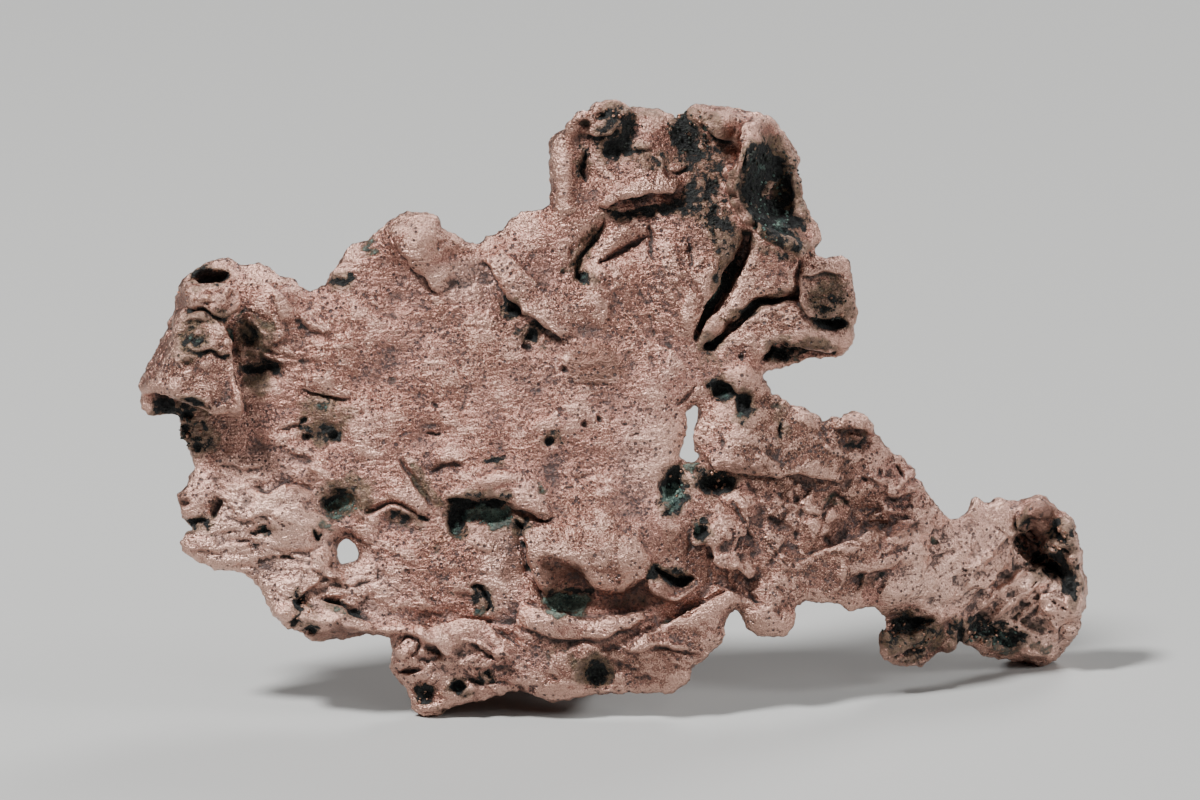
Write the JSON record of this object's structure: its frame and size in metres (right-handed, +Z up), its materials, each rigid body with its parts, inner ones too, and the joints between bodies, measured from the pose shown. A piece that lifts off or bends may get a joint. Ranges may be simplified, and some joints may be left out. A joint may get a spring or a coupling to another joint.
{
  "type": "native copper nugget",
  "caption": "Crumpled leaf of native copper with folded rims, ledges, creases and crusted pockets, standing on its worn lower points.",
  "frame": {"origin": "middle of the footprint of the bounding box, on the surface that the nugget stands on", "axes": "+Z up, +X along the nugget's length with its narrow arm at +X, its best face towards -Y"},
  "size_m": [0.0722, 0.018, 0.0456],
  "materials": {
    "native_copper": "bare native copper, satin and finely pitted, reddish brown in the hollows, with blue-green and black-green mineral crust in pockets"
  },
  "bodies": {
    "root": {"copper_nugget": "native_copper"}
  },
  "joints": []
}
